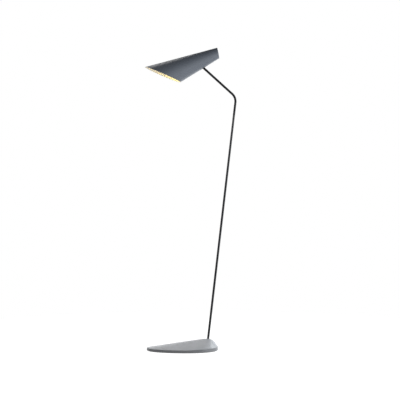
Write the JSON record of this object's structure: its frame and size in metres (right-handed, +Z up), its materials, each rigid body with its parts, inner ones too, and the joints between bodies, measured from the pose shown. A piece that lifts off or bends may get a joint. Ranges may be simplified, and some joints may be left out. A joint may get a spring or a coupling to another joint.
{
  "type": "floor reading lamp",
  "caption": "Slender floor reading lamp: cast pebble foot, bent tube stem, swivelling and tilting cone shade with a slanted opening.",
  "frame": {"origin": "on the floor, under the pad, where the axis of the leaning stem meets the ground", "axes": "+Z up; -X towards the shade's opening and the long end of the foot; the lamp is symmetric about the XZ plane"},
  "size_m": [0.4039, 0.196, 1.3321],
  "materials": {
    "foot_paint": "satin graphite paint on cast iron",
    "tube_paint": "satin graphite-black paint",
    "shade_paint": "satin graphite paint outside, matt white inside",
    "rubber": "matt black rubber",
    "zinc_steel": "zinc plated",
    "plate_steel": "plain sheet",
    "black_plastic": "moulded, matt",
    "white_plastic": "moulded, matt",
    "bush_plastic": "low-friction moulding",
    "brass": "machined",
    "fibre": "fibre washer",
    "lead_sleeve": "silicone sleeve",
    "bulb_shell": "nickel plated screw cap",
    "bulb_glass": "opal glass"
  },
  "bodies": {
    "stand": {"base_casting": "foot_paint", "base_pad": "rubber", "bottom_plate": "plate_steel", "bottom_plate_screws": "zinc_steel", "cord_gland": "black_plastic", "gland_nut": "black_plastic", "cord_clamp": "plate_steel", "cord_clamp_screws": "zinc_steel", "terminal_block": "white_plastic", "terminal_tubes": "brass", "terminal_screws": "zinc_steel", "terminal_block_screw": "zinc_steel", "earth_tag": "brass", "earth_screw": "zinc_steel", "stem_tube": "tube_paint", "stem_threaded_end": "zinc_steel", "stem_lock_washer": "zinc_steel", "stem_lock_nut": "zinc_steel", "swivel_bush": "bush_plastic", "stem_lead": "lead_sleeve"},
    "knuckle": {"swivel_spigot": "zinc_steel", "swivel_clip": "zinc_steel", "swivel_thrust_washer": "bush_plastic", "swivel_stop_pin": "zinc_steel", "knuckle_lead": "lead_sleeve"},
    "shade_head": {"shade": "shade_paint", "shade_rear_cap": "shade_paint", "lamp_bracket": "plate_steel", "shade_weld_studs": "zinc_steel", "stud_nuts": "zinc_steel", "stud_washers": "zinc_steel", "tilt_pivot_screw": "zinc_steel", "tilt_lock_nut": "zinc_steel", "tilt_friction_washers": "fibre", "tilt_spring_washer": "zinc_steel", "lampholder_body": "black_plastic", "lampholder_ring": "black_plastic", "lampholder_nipple": "zinc_steel", "lampholder_nut": "zinc_steel", "lampholder_contacts": "brass", "bulb_cap": "bulb_shell", "bulb_tip_contact": "brass", "bulb_seal": "black_plastic", "bulb_globe": "bulb_glass", "head_lead": "lead_sleeve"}
  },
  "joints": [
    {"name": "head_swivel", "type": "hinge", "parent": "stand", "child": "knuckle", "pos_m": [-0.03161, 0, 1.25907], "axis": [-0.7408, 0, 0.6717], "range_deg": [-155, 155]},
    {"name": "head_tilt", "type": "hinge", "parent": "knuckle", "child": "shade_head", "pos_m": [-0.03161, 0, 1.25907], "axis": [0, 1, 0], "range_deg": [-20, 20]}
  ]
}
